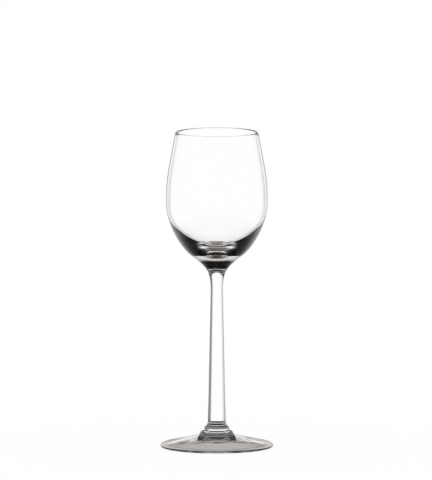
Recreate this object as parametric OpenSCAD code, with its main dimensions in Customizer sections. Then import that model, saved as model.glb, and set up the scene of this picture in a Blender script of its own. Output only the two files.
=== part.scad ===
// Stemmed liqueur glass in clear glass: a blown bowl, a drawn stem and a pressed foot, fused end to
// end on one upright axis. The origin is the centre of the ring that the foot stands on, +Z is up.
// Each piece is a revolved half outline, written as [radius, height] from its own lower weld.

/* [Bowl] */
// Height of the bowl from its weld up to the rim
bowl_h = 67.1; // [58:0.1:80]
// Outer diameter of the mouth at the rim
rim_d = 40.7; // [35:0.1:43]
// Outer diameter of the belly, the widest place
belly_d = 49.6; // [45:0.1:58]
// Height of the belly above the bowl's weld
belly_h = 31.9; // [27:0.1:38]
// Height above the belly over which the wall stays near upright before it draws in
rim_draw = 11; // [6:0.5:16]
// Lean of the wall where the bowl opens out above its neck, in degrees from upright
wall_lean = 55; // [45:1:62]
// Reach of the neck's curve below and above its turn
neck_reach = 4.6; // [3:0.1:6]
// Fullness of the curve from the neck up to the belly, from slack to square
lower_full = 0.5; // [0.4:0.02:0.7]
// Fullness of the curve from the belly up to the rim, from slack to square
upper_full = 1; // [0.6:0.02:1]

/* [Bowl wall] */
// Wall thickness at the rim, which is melted to a full round
rim_wall = 0.9; // [0.7:0.05:1.6]
// Wall thickness at the belly
belly_wall = 1.15; // [0.8:0.05:2]
// Height of the inside floor above the bowl's weld
floor_h = 8.3; // [7:0.1:14]
// Fullness of the inside curve from the belly down to the floor, from slack to square
floor_full = 0.55; // [0.5:0.01:0.6]

/* [Stem] */
// Length of the stem between its two welds
stem_len = 75.6; // [40:0.1:110]
// Diameter of the stem at its waist, the thinnest place
waist_d = 6; // [4.5:0.1:8]
// Distance from the bowl's weld down to the waist
waist_drop = 10.5; // [6.5:0.1:14]

/* [Welds] */
// Diameter of the weld between bowl and stem
bowl_weld_d = 10.9; // [9:0.1:13]
// Lean of the outline at the bowl's weld, in degrees from upright
weld_lean = 41; // [36:1:44]
// Diameter of the weld between stem and foot
foot_weld_d = 8.7; // [8:0.1:10]
// Rounding of each edge that meets at a weld, which leaves a fine groove round the seam
weld_round = 0.25; // [0.1:0.05:0.5]

/* [Foot] */
// Diameter of the foot across its edge
foot_d = 55; // [48:0.5:66]
// Height of the foot from the table to the stem's weld
foot_h = 12.3; // [11.2:0.1:16]
// Thickness of the foot's rounded edge
foot_edge = 1.5; // [1.2:0.1:2.2]
// Width of the flat ring that the foot stands on
rest_ring = 2.5; // [1.5:0.1:4]
// Rise of the hollow underside at the centre of the foot
foot_hollow = 4.2; // [2:0.1:5]
// Diameter at which the hollow's level crown would meet its slope
crown_d = 14.8; // [10:0.1:20]

/* [Boss] */
// Diameter of the collar below the stem, where it meets the upper ring
collar_d = 10.3; // [9.6:0.1:11.2]
// Height of the collar from the upper ring to the stem's weld
collar_h = 2; // [1:0.1:2.4]
// Diameter of the upper ring of the boss
upper_ring_d = 12.1; // [11.4:0.1:14]
// Height of the upper ring
upper_ring_h = 2; // [1.6:0.1:2.6]
// Diameter of the lower ring of the boss
lower_ring_d = 16.6; // [15:0.1:20]
// Height of the foot's upper face at the lower ring
boss_rise = 5.8; // [5:0.1:7]
// Depth by which the upper ring draws in again at its base
ring_tuck = 0.35; // [0.1:0.05:0.6]
// Height of the lower ring's upright side, below its rounded shoulder
ring_side = 0.4; // [0.2:0.1:0.9]

/* [Hidden] */
$fn = 128;
// Points along each curve and round each small edge
curve_steps = 18;
edge_steps = 6;
// Fullness at which a curve is a parabola, and at which it is close to a quarter ellipse
parabola = 2 / 3;
ellipse = 0.55;
// Share of its height at which the upper ring is widest
ring_belt = 0.5;
// Points closer than this count as one
least_step = 0.001;
glass_tint = [0.88, 0.92, 0.93, 0.5];

bowl_weld_r = bowl_weld_d / 2;
foot_weld_r = foot_weld_d / 2;
belly_r = belly_d / 2;
bowl_inner_r = belly_r - belly_wall;
lip_r = rim_wall / 2;
lip = [rim_d / 2 - lip_r, bowl_h - lip_r];
lip_lean = atan((belly_d - rim_d) / 2 / (bowl_h - belly_h - rim_draw));
edge_r = foot_edge / 2;
rim_of_foot = foot_d / 2 - edge_r;
upper_ring_r = upper_ring_d / 2;
lower_ring_r = lower_ring_d / 2;
upper_ring_z = foot_h - collar_h;
lower_ring_z = upper_ring_z - upper_ring_h;
face_slope = atan((boss_rise - foot_edge) / (rim_of_foot - lower_ring_r));

// Direction that leans out from upright by an angle
function lean(angle) = [sin(angle), cos(angle)];

// Point at a share t of a Bezier curve with any number of control points
function along(p, t) = len(p) == 1 ? p[0]
    : along([for (i = [0 : len(p) - 2]) p[i] * (1 - t) + p[i + 1] * t], t);

// Curve from start to end, tangent to the two lines that meet at corner
function bend(start, corner, end, full, steps = curve_steps) =
    let (p = [start, start + (corner - start) * full, end + (corner - end) * full, end])
    [for (i = [0 : steps]) along(p, i / steps)];

// Arc round centre from one angle to another
function arc(centre, r, from, to) =
    [for (i = [0 : edge_steps])
        let (a = from + (to - from) * i / edge_steps)
        centre + r * [cos(a), sin(a)]];

// Rounded edge of a weld face that lies at height z; the side of the piece goes on in direction up
function weld_edge(r, z, up) =
    bend([r - weld_round, z], [r, z], [r, z + up * weld_round], ellipse, edge_steps);

function reversed(points) = [for (i = [len(points) - 1 : -1 : 0]) points[i]];

// Points of an outline without the repeats where one stretch hands over to the next
function distinct(points) =
    [for (i = [0 : len(points) - 1])
        if (i == 0 || norm(points[i] - points[i - 1]) > least_step) points[i]];

module turned(outline) {
    rotate_extrude() polygon(distinct(outline));
}

// Blown bowl: an S-shaped neck, a full belly and a wall that draws in to a round lip
module bowl() {
    start = [bowl_weld_r, weld_round];
    neck = start + neck_reach * lean(weld_lean);
    shoulder = neck + neck_reach * lean(wall_lean);
    low_corner = [belly_r, shoulder[1] + (belly_r - shoulder[0]) / tan(wall_lean)];
    lip_out = lip_r * [cos(lip_lean), sin(lip_lean)];
    outside = concat(
        weld_edge(bowl_weld_r, 0, 1),
        bend(start, neck, shoulder, parabola),
        bend(shoulder, low_corner, [belly_r, belly_h], lower_full),
        bend([belly_r, belly_h], [belly_r, belly_h + rim_draw], lip + lip_out, upper_full)
    );
    inside = concat(
        bend(lip - lip_out, [bowl_inner_r, belly_h + rim_draw], [bowl_inner_r, belly_h], upper_full),
        bend([bowl_inner_r, belly_h], [bowl_inner_r, floor_h], [0, floor_h], floor_full)
    );
    round_lip = arc(lip, lip_r, lip_lean, lip_lean + 180);
    color(glass_tint)
    translate([0, 0, foot_h + stem_len])
    turned(concat([[0, 0]], outside, round_lip, inside));
}

// Solid stem: a straight taper up to the waist, then a flare to the bowl's weld
module stem() {
    waist = [waist_d / 2, stem_len - waist_drop];
    top = [bowl_weld_r, stem_len - weld_round];
    flare_corner = [waist[0], top[1] - (top[0] - waist[0]) / tan(weld_lean)];
    outside = concat(
        weld_edge(foot_weld_r, 0, 1),
        bend(waist, flare_corner, top, parabola),
        reversed(weld_edge(bowl_weld_r, stem_len, -1))
    );
    color(glass_tint)
    translate([0, 0, foot_h])
    turned(concat([[0, 0]], outside, [[0, stem_len]]));
}

// Pressed foot: a shallow cone with a boss of two rounded rings and a collar, hollow underneath,
// standing on a narrow ring
module foot() {
    edge = [rim_of_foot, edge_r];
    face_in = [lower_ring_r, boss_rise];
    upper_base = [upper_ring_r - ring_tuck, lower_ring_z];
    upper_belt = [upper_ring_r, lower_ring_z + upper_ring_h * ring_belt];
    upper_top = [collar_d / 2, upper_ring_z];
    ring_in = [rim_of_foot - rest_ring, 0];
    crown = [crown_d / 2, foot_hollow];
    outside = concat(
        arc(edge, edge_r, -90, 90 - face_slope),
        [face_in],
        bend(face_in + [0, ring_side], [lower_ring_r, lower_ring_z], upper_base, ellipse),
        bend(upper_base, [upper_ring_r, lower_ring_z], upper_belt, ellipse, edge_steps),
        bend(upper_belt, [upper_ring_r, upper_ring_z], upper_top, ellipse),
        reversed(weld_edge(foot_weld_r, foot_h, -1))
    );
    underside = bend([0, foot_hollow], crown, ring_in, parabola);
    color(glass_tint)
    turned(concat(outside, [[0, foot_h]], underside));
}

bowl();
stem();
foot();
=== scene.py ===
"""Clear stemmed liqueur glass on a white studio floor, seen from a little above the table."""
import math
from collections import namedtuple

import bmesh
import bpy
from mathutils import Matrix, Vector


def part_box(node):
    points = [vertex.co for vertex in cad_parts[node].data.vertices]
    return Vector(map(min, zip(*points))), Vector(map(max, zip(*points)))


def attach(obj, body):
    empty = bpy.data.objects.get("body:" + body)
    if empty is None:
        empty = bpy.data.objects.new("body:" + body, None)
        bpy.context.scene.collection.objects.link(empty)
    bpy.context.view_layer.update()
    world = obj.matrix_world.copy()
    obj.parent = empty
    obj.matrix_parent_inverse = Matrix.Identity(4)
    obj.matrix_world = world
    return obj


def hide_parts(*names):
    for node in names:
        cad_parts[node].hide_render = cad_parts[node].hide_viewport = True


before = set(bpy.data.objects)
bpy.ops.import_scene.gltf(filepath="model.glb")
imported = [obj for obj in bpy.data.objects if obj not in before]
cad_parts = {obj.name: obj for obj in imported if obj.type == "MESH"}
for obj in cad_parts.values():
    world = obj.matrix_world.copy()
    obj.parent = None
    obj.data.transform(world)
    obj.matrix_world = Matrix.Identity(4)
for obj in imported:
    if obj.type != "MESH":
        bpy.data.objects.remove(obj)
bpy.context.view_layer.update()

MM = 0.001
FOOT_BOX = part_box("foot")
STEM_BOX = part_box("stem")
BOWL_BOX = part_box("bowl")

# Bowl, from its weld up to the rim
BOWL_BASE = BOWL_BOX[0].z
RIM_Z = BOWL_BOX[1].z
BELLY_R = BOWL_BOX[1].x
BELLY_Z = BOWL_BASE + 31.9 * MM
RIM_R = 20.35 * MM
RIM_DRAW = 11 * MM
WALL_LEAN = math.radians(55)
NECK_REACH = 4.6 * MM
LOWER_FULL = 0.5
UPPER_FULL = 1.0
RIM_WALL = 0.9 * MM
BELLY_WALL = 1.15 * MM
INSIDE_Z = BOWL_BASE + 8.3 * MM
INSIDE_FULL = 0.55

# Stem, from the foot's weld up to the bowl's
STEM_BASE = STEM_BOX[0].z
STEM_TOP = STEM_BOX[1].z
WAIST_R = 3 * MM
WAIST_Z = STEM_TOP - 10.5 * MM
BOWL_WELD_R = STEM_BOX[1].x
WELD_LEAN = math.radians(41)
FOOT_WELD_R = 4.35 * MM
BOWL_WELD_ROUND = 0.1 * MM
FOOT_WELD_ROUND = 0.06 * MM

# Foot, from the table up to the stem's weld
FOOT_R = FOOT_BOX[1].x
FOOT_TOP = FOOT_BOX[1].z
FOOT_EDGE = 1.5 * MM
REST_RING = 2.5 * MM
FOOT_HOLLOW = 4.2 * MM
CROWN_R = 7.4 * MM
COLLAR_R = 5.15 * MM
UPPER_RING_R = 6.05 * MM
UPPER_RING_Z = FOOT_TOP - 2 * MM
LOWER_RING_R = 8.3 * MM
LOWER_RING_Z = UPPER_RING_Z - 2 * MM
BOSS_RISE = 5.8 * MM
RING_TUCK = 0.35 * MM
RING_BELT = 0.5
RING_SIDE = 0.4 * MM

# Fullness at which a curve is a parabola, and at which it is close to a quarter ellipse
PARABOLA = 2 / 3
ELLIPSE = 0.55
# Fineness of the meshes
CURVE_STEPS = 48
INSIDE_STEPS = 96
EDGE_STEPS = 10
TAPER_STEPS = 24
SEGMENTS = 256
LEAST_STEP = 0.001 * MM

# Camera: the glass stands this far from it, looked down on at this angle
VIEW_DISTANCE = 7.0
VIEW_ELEVATION = math.radians(6.75)
VIEW_CENTRE = Vector((-0.39 * MM, 0, 101.84 * MM))
FRAME_HEIGHT = 234.86 * MM
SENSOR = 36
# Bounces after which light has found its way out of the thick glass
BOUNCES = 24
GLOSSY_BOUNCES = 16

# Glass: its index, its faint colour, and the share of the full reflection that the polished faces
# give back: a painted shade on the reflections, which stands for the dim front of the studio
GLASS_IOR = 1.52
CLEAR = (0.996, 0.997, 0.996, 1)
GLARE = (0.25, 0.25, 0.25, 1)
# Swell of a piece's surface: how its waves are stretched, their length and depth, and the radius
# inside which it is calm. Then a painted shade: the grey that the edges are painted to, standing
# in for the dark studio that glass shows side-on, and the slants between which they go to it, from
# 0 seen square on to 1 seen side-on
Finish = namedtuple("Finish", "stretch wave depth calm edge_grey edge_band")
BOWL_FINISH = Finish((1, 1, 0.6), 30 * MM, 0.05 * MM, 0.0, (0.12, 0.115, 0.11, 1), (0.7, 1.0))
STEM_FINISH = Finish((1, 1, 0.2), 8 * MM, 0.02 * MM, 0.0, (0.2, 0.19, 0.185, 1), (0.12, 0.6))
FOOT_FINISH = Finish((1, 1, 1), 9 * MM, 0.1 * MM, 9.5 * MM, (0.22, 0.21, 0.2, 1), (0.72, 1.0))
# The swell sets in this far inside the calm radius, and is full this far outside it
CALM_INSIDE = 1 * MM
CALM_OUTSIDE = 3 * MM
SWELL_DETAIL = 1.0
# Finger smudges on the polish, and the worn face of the ring that stands on the table
SMUDGE_SIZE = 25 * MM
SMUDGE_DETAIL = 3.0
SMUDGE_BAND = (0.55, 0.75)
SMUDGE_ROUGH = 0.012
WEAR_HEIGHT = 0.15 * MM
WEAR_ROUGH = 0.25

# Studio floor, and how strongly the glass's shadow shows on it
FLOOR_R = 3.0
FLOOR_SEGMENTS = 96
FLOOR_SHADE = 0.25
# Colour of the studio's light where it is full, and where it is dim
WHITE = (1, 1, 1, 1)
WARM = (1, 0.88, 0.82, 1)

# What the glass sees of the studio is dimmer in places. A pair of values is a span over which the
# tone goes softly from one to the next: shares of a unit direction, metres, or turns in the glass.
#
# Turns inside the glass from which light counts as turned back once, twice, often and deep in
# it, and from which it is lost, and the share left over after two turns and when lost
TURNED = (0, 1)
TURNED_TWICE = (1, 2)
TURNED_OFTEN = (1.5, 3)
TURNED_DEEP = (3, 4)
LOST = (3.5, 5.5)
TWICE_SHARE = 0.3
LOST_SHARE = 0.05
# Sky: dark high up, lower down for light that was turned back. For light straight through, its
# height counts for SKY_LEVEL in the middle and for more towards the sides
SKY_ONCE = (0.34, 0.55)
SKY_TWICE = (0.08, 0.2)
SKY_CLEAR = (0.28, 0.85)
SKY_LEVEL = 0.45
SKY_SIDE = 2.5
SKY_DARK = 0.99
# Painted shade on the floor for light turned back: black round a centre under the boss, grey in
# front of it, nearly black behind it, and brighter away from the foot. Far out, a second turn
# costs nothing
SHADE_CENTRE = (0, 0.008, 0)
SHADE_CORE = (0.006, 0.011)
SHADE_TURN = (-0.004, 0.006)
SHADE_FRONT = 0.5
SHADE_BACK = 0.03
SHADE_EDGE = (0.02, 0.25)
SHADE_FAR = (0.4, 1.2)
# Floor straight through the glass: a painted soft shadow under the foot, and a painted dark strip
# of shadow behind it. The strip's side is given as the cosine of the angle from straight back
UNDER_FRONT = 0.6
UNDER_BACK = 0.45
UNDER_TURN = (0.004, 0.018)
UNDER_EDGE = (0.034, 0.05)
STRIP_NEAR = (0.025, 0.032)
STRIP_FAR = (0.065, 0.085)
STRIP_SIDE = (0.65, 0.85)
STRIP_DARK = 0.95
# Back card: white straight through. To light turned back its middle is a little grey at the foot,
# white above that and grey higher up, less so deep in the glass
BACK_ENDS = ((-0.16, 0.2), (0.16, 0.2))
BACK_HEIGHT = 0.16
BACK_SOFT_SIDE = 0.1
BACK_SOFT_TOP = 0.04
BACK_MIDDLE = (0.05, 0.09)
BACK_FOOT = (0.02, 0.04)
BACK_FOOT_GREY = 0.8
BACK_LOW = (0.05, 0.07)
BACK_GREY = 0.2
BACK_DEEP = 0.5
# Side cards: the right one grey and darker higher up, both nearly black to light turned back often
RIGHT_ENDS = ((0.0473, 0.1015), (0.1046, -0.04))
LEFT_ENDS = ((-0.0473, 0.1015), (-0.1046, -0.04))
SIDE_HEIGHT = 0.128
SIDE_SOFT_SIDE = 0.03
SIDE_SOFT_TOP = 0.012
SIDE_GRADE = (0.06, 0.085)
SIDE_LOW = 0.4
SIDE_HIGH = 0.25
SIDE_INSIDE = 0.01


def lean(angle):
    """Direction that leans out from upright by an angle."""
    return Vector((math.sin(angle), math.cos(angle)))


def straight(start, end, steps):
    return [start.lerp(end, i / steps) for i in range(steps + 1)]


def bend(start, corner, end, full, steps=CURVE_STEPS):
    """Curve from start to end, tangent to the two lines that meet at corner."""
    a, b = start.lerp(corner, full), end.lerp(corner, full)
    points = []
    for i in range(steps + 1):
        t = i / steps
        u = 1 - t
        points.append(u ** 3 * start + 3 * u * u * t * a + 3 * u * t * t * b + t ** 3 * end)
    return points


def arc(centre, radius, start, end):
    angles = [start + (end - start) * i / EDGE_STEPS for i in range(EDGE_STEPS + 1)]
    return [centre + radius * Vector((math.cos(a), math.sin(a))) for a in angles]


def weld_edge(r, z, rounding):
    """Rounded edge of a weld face at height z.

    The side of the piece goes on upwards, or downwards where rounding is negative.
    """
    start = Vector((r - abs(rounding), z))
    end = Vector((r, z + rounding))
    return bend(start, Vector((r, z)), end, ELLIPSE, EDGE_STEPS)


def bowl_outline():
    start = Vector((BOWL_WELD_R, BOWL_BASE + BOWL_WELD_ROUND))
    neck = start + NECK_REACH * lean(WELD_LEAN)
    shoulder = neck + NECK_REACH * lean(WALL_LEAN)
    low_corner = Vector((BELLY_R, shoulder.y + (BELLY_R - shoulder.x) / math.tan(WALL_LEAN)))
    belly = Vector((BELLY_R, BELLY_Z))
    lip_r = RIM_WALL / 2
    lip = Vector((RIM_R - lip_r, RIM_Z - lip_r))
    lip_lean = math.atan((BELLY_R - RIM_R) / (RIM_Z - BELLY_Z - RIM_DRAW))
    lip_out = lip_r * Vector((math.cos(lip_lean), math.sin(lip_lean)))
    inner = Vector((BELLY_R - BELLY_WALL, BELLY_Z))
    inner_corner = Vector((inner.x, INSIDE_Z))
    draw = Vector((0, RIM_DRAW))
    return [
        Vector((0, BOWL_BASE)),
        *weld_edge(BOWL_WELD_R, BOWL_BASE, BOWL_WELD_ROUND),
        *bend(start, neck, shoulder, PARABOLA),
        *bend(shoulder, low_corner, belly, LOWER_FULL),
        *bend(belly, belly + draw, lip + lip_out, UPPER_FULL),
        *arc(lip, lip_r, lip_lean, lip_lean + math.pi),
        *bend(lip - lip_out, inner + draw, inner, UPPER_FULL),
        *bend(inner, inner_corner, Vector((0, INSIDE_Z)), INSIDE_FULL, INSIDE_STEPS),
    ]


def stem_outline():
    low = Vector((FOOT_WELD_R, STEM_BASE + FOOT_WELD_ROUND))
    waist = Vector((WAIST_R, WAIST_Z))
    top = Vector((BOWL_WELD_R, STEM_TOP - BOWL_WELD_ROUND))
    flare_corner = Vector((WAIST_R, top.y - (top.x - WAIST_R) / math.tan(WELD_LEAN)))
    return [
        Vector((0, STEM_BASE)),
        *weld_edge(FOOT_WELD_R, STEM_BASE, FOOT_WELD_ROUND),
        *straight(low, waist, TAPER_STEPS),
        *bend(waist, flare_corner, top, PARABOLA),
        *reversed(weld_edge(BOWL_WELD_R, STEM_TOP, -BOWL_WELD_ROUND)),
        Vector((0, STEM_TOP)),
    ]


def boss_outline(face_in):
    """Two rounded rings and a collar, from the foot's upper face to the weld."""
    side_top = face_in + Vector((0, RING_SIDE))
    lower_corner = Vector((LOWER_RING_R, LOWER_RING_Z))
    upper_base = Vector((UPPER_RING_R - RING_TUCK, LOWER_RING_Z))
    belt_z = LOWER_RING_Z + (UPPER_RING_Z - LOWER_RING_Z) * RING_BELT
    upper_belt = Vector((UPPER_RING_R, belt_z))
    upper_top = Vector((COLLAR_R, UPPER_RING_Z))
    weld = list(reversed(weld_edge(FOOT_WELD_R, FOOT_TOP, -FOOT_WELD_ROUND)))
    return [
        *straight(face_in, side_top, EDGE_STEPS),
        *bend(side_top, lower_corner, upper_base, ELLIPSE),
        *bend(upper_base, Vector((UPPER_RING_R, LOWER_RING_Z)), upper_belt, ELLIPSE),
        *bend(upper_belt, Vector((UPPER_RING_R, UPPER_RING_Z)), upper_top, ELLIPSE),
        *straight(upper_top, weld[0], TAPER_STEPS),
        *weld,
    ]


def foot_outline():
    edge_r = FOOT_EDGE / 2
    edge = Vector((FOOT_R - edge_r, edge_r))
    slope = math.atan((BOSS_RISE - FOOT_EDGE) / (edge.x - LOWER_RING_R))
    face_out = edge + edge_r * lean(slope)
    face_in = Vector((LOWER_RING_R, BOSS_RISE))
    ring_in = Vector((edge.x - REST_RING, 0))
    return [
        *bend(Vector((0, FOOT_HOLLOW)), Vector((CROWN_R, FOOT_HOLLOW)), ring_in, PARABOLA),
        *arc(edge, edge_r, -math.pi / 2, math.pi / 2 - slope),
        *straight(face_out, face_in, TAPER_STEPS),
        *boss_outline(face_in),
        Vector((0, FOOT_TOP)),
    ]


def distinct(points):
    """Points without the repeats where one stretch hands over to the next."""
    kept = points[:1]
    for p in points[1:]:
        if (p - kept[-1]).length > LEAST_STEP:
            kept.append(p)
    return kept


def mesh_object(name, bm, materials):
    mesh = bpy.data.meshes.new(name)
    bm.to_mesh(mesh)
    bm.free()
    for material in materials:
        mesh.materials.append(material)
    made = bpy.data.objects.new(name, mesh)
    bpy.context.scene.collection.objects.link(made)
    return made


def turned(name, outline, materials, welds):
    """Closed body turned from a half outline that runs from axis to axis.

    Its level faces at the heights of the welds take the second material.
    """
    bm = bmesh.new()
    turns = [2 * math.pi * i / SEGMENTS for i in range(SEGMENTS)]
    rings = []
    for p in distinct(outline):
        if p.x < LEAST_STEP:
            rings.append([bm.verts.new((0, 0, p.y))] * SEGMENTS)
        else:
            ring = [(p.x * math.cos(t), p.x * math.sin(t), p.y) for t in turns]
            rings.append([bm.verts.new(place) for place in ring])
    for low, high in zip(rings, rings[1:]):
        z = low[0].co.z
        level = abs(z - high[0].co.z) < LEAST_STEP
        on_weld = level and any(abs(z - weld) < LEAST_STEP for weld in welds)
        for i in range(SEGMENTS):
            j = (i + 1) % SEGMENTS
            corners = dict.fromkeys([low[i], low[j], high[j], high[i]])
            face = bm.faces.new(corners)
            face.smooth = True
            face.material_index = int(on_weld)
    bmesh.ops.recalc_face_normals(bm, faces=bm.faces)
    return mesh_object(name, bm, materials)


class Tree:
    """Short calls to add and link nodes."""

    def __init__(self, owner):
        owner.use_nodes = True
        self.nodes = owner.node_tree.nodes
        self.links = owner.node_tree.links
        self.nodes.clear()

    def add(self, kind, sockets=None, **settings):
        node = self.nodes.new(kind)
        for key, value in settings.items():
            setattr(node, key, value)
        for key, value in (sockets or {}).items():
            if isinstance(value, bpy.types.NodeSocket):
                self.links.new(value, node.inputs[key])
            else:
                node.inputs[key].default_value = value
        return node

    def output(self, shader):
        self.add("ShaderNodeOutputMaterial", {"Surface": shader.outputs[0]})

    def place(self):
        return self.add("ShaderNodeTexCoord").outputs["Object"]

    def axes(self, vector):
        return self.add("ShaderNodeSeparateXYZ", {0: vector}).outputs

    def math(self, operation, a, b):
        return self.add("ShaderNodeMath", {0: a, 1: b}, operation=operation).outputs[0]

    def less(self, value):
        """What is left of 1 when a value is taken from it."""
        return self.math("SUBTRACT", 1.0, value)

    def length(self, vector):
        node = self.add("ShaderNodeVectorMath", {0: vector}, operation="LENGTH")
        return node.outputs["Value"]

    def noise(self, place, size, detail):
        sockets = {"Vector": place, "Scale": 1 / size, "Detail": detail}
        return self.add("ShaderNodeTexNoise", sockets).outputs["Fac"]

    def smooth(self, value, low, high):
        """0 below low, 1 above high and a soft step between them."""
        sockets = {"Value": value, "From Min": low, "From Max": high}
        return self.add("ShaderNodeMapRange", sockets, interpolation_type="SMOOTHSTEP").outputs[0]

    def blend(self, share, a, b):
        """Value a where share is 0, b where it is 1."""
        return self.add("ShaderNodeMix", {0: share, 2: a, 3: b}).outputs[0]

    def colour(self, share, a, b):
        """Colour a where share is 0, b where it is 1."""
        sockets = {"Factor": share, 6: a, 7: b}
        return self.add("ShaderNodeMix", sockets, data_type="RGBA").outputs[2]

    def tone(self, strength):
        """Colour of a light of a strength: white, and a little warm where it is dim."""
        return self.colour(strength, WARM, WHITE)

    def seen_in_glass(self):
        """1 for rays that reach a surface by way of a reflection or a refraction."""
        path = self.add("ShaderNodeLightPath").outputs
        return self.math("MAXIMUM", path["Is Glossy Ray"], path["Is Transmission Ray"])

    def seen(self):
        """1 for rays that reach a surface from the camera, straight or by way of glass."""
        path = self.add("ShaderNodeLightPath").outputs
        return self.math("MAXIMUM", path["Is Camera Ray"], self.seen_in_glass())

    def turns(self, span):
        """0 for light turned back less often than a span inside the glass, 1 for more often."""
        return self.smooth(self.add("ShaderNodeLightPath").outputs["Glossy Depth"], *span)


def new_material(name):
    material = bpy.data.materials.new(name)
    return material, Tree(material)


def glass(name, finish):
    """Clear polished glass whose surface swells faintly, with a painted shade that greys its edges
    seen side-on.
    """
    material, tree = new_material(name)
    place = tree.place()
    pulled = tree.add("ShaderNodeMapping", {"Vector": place, "Scale": finish.stretch}).outputs[0]
    x, y, height = tree.axes(place)
    out = tree.length(tree.add("ShaderNodeCombineXYZ", {0: x, 1: y}).outputs[0])
    bump = tree.add("ShaderNodeBump", {
        "Height": tree.noise(pulled, finish.wave, SWELL_DETAIL),
        "Distance": finish.depth,
        "Strength": tree.smooth(out, finish.calm - CALM_INSIDE, finish.calm + CALM_OUTSIDE),
    })
    smudge = tree.smooth(tree.noise(place, SMUDGE_SIZE, SMUDGE_DETAIL), *SMUDGE_BAND)
    smudged = tree.math("MULTIPLY", smudge, SMUDGE_ROUGH)
    rough = tree.blend(tree.smooth(height, 0.0, WEAR_HEIGHT), WEAR_ROUGH, smudged)
    # Painted shade: the glass's colour goes grey where it is seen side-on, standing in for the
    # dark studio at its edges
    facing = tree.add("ShaderNodeLayerWeight").outputs["Facing"]
    edge_shaded = tree.colour(tree.smooth(facing, *finish.edge_band), CLEAR, finish.edge_grey)
    # Specular Tint set to GLARE dims the reflections: a painted shade for the dim front of the
    # studio
    tree.output(tree.add("ShaderNodeBsdfPrincipled", {
        "Base Color": edge_shaded,
        "Roughness": rough,
        "IOR": GLASS_IOR,
        "Transmission Weight": 1.0,
        "Specular Tint": GLARE,
        "Normal": bump.outputs["Normal"],
    }))
    return material


def fused():
    """Inside of a weld, where two pieces are one glass and light goes straight on."""
    material, tree = new_material("fused_weld")
    tree.output(tree.add("ShaderNodeBsdfTransparent"))
    return material


def make_glass():
    weld = fused()
    bowl = turned("bowl_blown", bowl_outline(), [glass("bowl_glass", BOWL_FINISH), weld],
                  [BOWL_BASE])
    stem = turned("stem_drawn", stem_outline(), [glass("stem_glass", STEM_FINISH), weld],
                  [STEM_BASE, STEM_TOP])
    foot = turned("foot_pressed", foot_outline(), [glass("foot_glass", FOOT_FINISH), weld],
                  [FOOT_TOP])
    for piece, node in ((bowl, "bowl"), (stem, "stem"), (foot, "foot")):
        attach(piece, "root")
        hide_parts(node)


def shade_turned(tree, place, away, y):
    """Painted shade on the floor for light turned back: black under the boss, grey under the foot.
    """
    sockets = {0: place, 1: SHADE_CENTRE}
    off = tree.add("ShaderNodeVectorMath", sockets, operation="DISTANCE").outputs["Value"]
    grey = tree.blend(tree.smooth(y, *SHADE_TURN), SHADE_FRONT, SHADE_BACK)
    inner = tree.math("MULTIPLY", grey, tree.smooth(off, *SHADE_CORE))
    return tree.math("MAXIMUM", inner, tree.smooth(away, *SHADE_EDGE))


def shade_straight(tree, away, y):
    """Painted shade on the floor straight through: a soft shadow, and a dark strip of shadow
    behind the foot.
    """
    under = tree.blend(tree.smooth(y, *UNDER_TURN), UNDER_FRONT, UNDER_BACK)
    soft = tree.math("MAXIMUM", under, tree.smooth(away, *UNDER_EDGE))
    reach = tree.math("SUBTRACT", tree.smooth(away, *STRIP_NEAR), tree.smooth(away, *STRIP_FAR))
    behind = tree.smooth(tree.math("DIVIDE", y, away), *STRIP_SIDE)
    dark = tree.math("MULTIPLY", tree.math("MULTIPLY", reach, behind), STRIP_DARK)
    return tree.math("MULTIPLY", soft, tree.less(dark))


def floor_shade(tree):
    """Painted shade of the floor as the glass sees it."""
    place = tree.place()
    away = tree.length(place)
    y = tree.axes(place)["Y"]
    through, back = shade_straight(tree, away, y), shade_turned(tree, place, away, y)
    shade = tree.blend(tree.turns(TURNED), through, back)
    near = tree.less(tree.smooth(away, *SHADE_FAR))
    twice = tree.math("MULTIPLY", tree.turns(TURNED_TWICE), near)
    after_two = tree.blend(twice, 1.0, TWICE_SHARE)
    after_many = tree.blend(tree.turns(LOST), 1.0, LOST_SHARE)
    return tree.math("MULTIPLY", shade, tree.math("MULTIPLY", after_two, after_many))


def floor_material():
    """White paper, white to the camera, with the glass's own shadow on its lit share; the glass
    sees it in a painted shade under and behind the foot.
    """
    material, tree = new_material("white_floor")
    dark = tree.less(floor_shade(tree))
    strength = tree.less(tree.math("MULTIPLY", dark, tree.seen_in_glass()))
    paper = tree.add("ShaderNodeBsdfDiffuse", {"Color": WHITE})
    glow = tree.add("ShaderNodeEmission", {"Color": tree.tone(strength), "Strength": strength})
    lit = tree.math("MULTIPLY", tree.seen(), 1 - FLOOR_SHADE)
    share = tree.math("MAXIMUM", lit, tree.seen_in_glass())
    sockets = {0: share, 1: paper.outputs[0], 2: glow.outputs[0]}
    tree.output(tree.add("ShaderNodeMixShader", sockets))
    return material


def make_floor():
    bm = bmesh.new()
    bmesh.ops.create_circle(bm, cap_ends=True, segments=FLOOR_SEGMENTS, radius=FLOOR_R)
    floor = mesh_object("floor", bm, [floor_material()])


def card_mask(tree, width, height, soft_side, soft_top):
    """Share of a card that shows: all but its soft ends and top.

    Also gives the way from the card's middle and the height above the floor.
    """
    x, _, z = tree.axes(tree.place())
    from_middle = tree.math("ABSOLUTE", x, 0.0)
    side = tree.smooth(tree.math("SUBTRACT", width / 2, from_middle), 0.0, soft_side)
    top = tree.smooth(tree.math("SUBTRACT", height, z), 0.0, soft_top)
    return tree.math("MULTIPLY", side, top), from_middle, z


def show_card(tree, mask, colour, strength):
    clear = tree.add("ShaderNodeBsdfTransparent")
    glow = tree.add("ShaderNodeEmission", {"Color": colour, "Strength": strength})
    sockets = {0: mask, 1: clear.outputs[0], 2: glow.outputs[0]}
    tree.output(tree.add("ShaderNodeMixShader", sockets))


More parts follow.
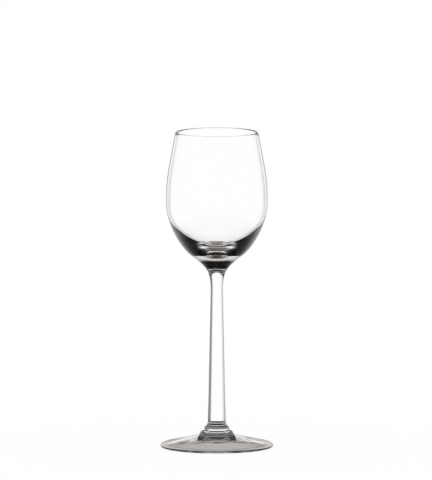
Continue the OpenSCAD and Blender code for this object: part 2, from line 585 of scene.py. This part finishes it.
def white_card(name, width, height):
    """White straight through the glass, grey in its middle to light that was turned back."""
    material, tree = new_material(name)
    mask, from_middle, z = card_mask(tree, width, height, BACK_SOFT_SIDE, BACK_SOFT_TOP)
    low = tree.blend(tree.smooth(z, *BACK_FOOT), BACK_FOOT_GREY, 1.0)
    high = tree.blend(tree.turns(TURNED_DEEP), BACK_GREY, BACK_DEEP)
    middle = tree.blend(tree.smooth(z, *BACK_LOW), low, high)
    grey = tree.blend(tree.smooth(from_middle, *BACK_MIDDLE), middle, 1.0)
    strength = tree.blend(tree.turns(TURNED), 1.0, grey)
    show_card(tree, mask, tree.tone(strength), strength)
    return material


def grey_card(name, width, height):
    """Grey straight through the glass, and dark to light that was turned back often."""
    material, tree = new_material(name)
    mask, _, z = card_mask(tree, width, height, SIDE_SOFT_SIDE, SIDE_SOFT_TOP)
    grey = tree.blend(tree.smooth(z, *SIDE_GRADE), SIDE_LOW, SIDE_HIGH)
    often = tree.turns(TURNED_OFTEN)
    straight_on = tree.less(tree.turns(TURNED))
    shown = tree.math("MULTIPLY", mask, tree.math("MAXIMUM", straight_on, often))
    strength = tree.blend(often, grey, SIDE_INSIDE)
    show_card(tree, shown, tree.tone(strength), strength)
    return material


def dark_card(name, width, height):
    """Dark, and shows only to light that was turned back often."""
    material, tree = new_material(name)
    mask, _, _ = card_mask(tree, width, height, SIDE_SOFT_SIDE, SIDE_SOFT_TOP)
    shown = tree.math("MULTIPLY", mask, tree.turns(TURNED_OFTEN))
    show_card(tree, shown, WARM, SIDE_INSIDE)
    return material


def make_card(name, ends, height, material):
    """Upright card on the floor from one end to the other, which only the glass sees."""
    start, end = Vector(ends[0]), Vector(ends[1])
    half = (end - start).length / 2
    bm = bmesh.new()
    corners = [(-half, 0, 0), (half, 0, 0), (half, 0, height), (-half, 0, height)]
    bm.faces.new([bm.verts.new(corner) for corner in corners])
    card = mesh_object(name, bm, [material(name, 2 * half, height)])
    middle = start.lerp(end, 0.5)
    card.location = (middle.x, middle.y, 0)
    card.rotation_euler.z = math.atan2(end.y - start.y, end.x - start.x)
    card.visible_camera = card.visible_diffuse = card.visible_shadow = False


def make_world():
    """Soft white light all round, which the glass sees dark high up."""
    world = bpy.data.worlds.new("studio")
    bpy.context.scene.world = world
    tree = Tree(world)
    x, _, z = tree.axes(tree.add("ShaderNodeTexCoord").outputs["Generated"])
    sideways = tree.math("MULTIPLY", tree.math("ABSOLUTE", x, 0.0), SKY_SIDE)
    raised = tree.math("MULTIPLY", z, tree.math("ADD", sideways, SKY_LEVEL))
    once, twice = tree.smooth(z, *SKY_ONCE), tree.smooth(z, *SKY_TWICE)
    back = tree.blend(tree.turns(TURNED_TWICE), once, twice)
    dark = tree.blend(tree.turns(TURNED), tree.smooth(raised, *SKY_CLEAR), back)
    hidden = tree.math("MULTIPLY", tree.math("MULTIPLY", dark, SKY_DARK), tree.seen_in_glass())
    after_many = tree.blend(tree.turns(LOST), 1.0, LOST_SHARE)
    strength = tree.math("MULTIPLY", tree.less(hidden), after_many)
    sockets = {"Color": tree.tone(strength), "Strength": strength}
    light = tree.add("ShaderNodeBackground", sockets)
    tree.add("ShaderNodeOutputWorld", {"Surface": light.outputs[0]})


def make_camera():
    data = bpy.data.cameras.new("camera")
    data.sensor_width = SENSOR
    data.lens = SENSOR * VIEW_DISTANCE / FRAME_HEIGHT
    camera = bpy.data.objects.new("camera", data)
    back = Vector((0, -math.cos(VIEW_ELEVATION), math.sin(VIEW_ELEVATION)))
    camera.location = VIEW_CENTRE + VIEW_DISTANCE * back
    camera.rotation_euler = (math.pi / 2 - VIEW_ELEVATION, 0, 0)
    bpy.context.scene.collection.objects.link(camera)
    bpy.context.scene.camera = camera


scene = bpy.context.scene
scene.view_settings.view_transform = "Standard"
scene.cycles.max_bounces = BOUNCES
scene.cycles.glossy_bounces = GLOSSY_BOUNCES
scene.cycles.transmission_bounces = BOUNCES

make_camera()
make_glass()
make_floor()
make_card("back_card", BACK_ENDS, BACK_HEIGHT, white_card)
make_card("right_card", RIGHT_ENDS, SIDE_HEIGHT, grey_card)
make_card("left_card", LEFT_ENDS, SIDE_HEIGHT, dark_card)
make_world()
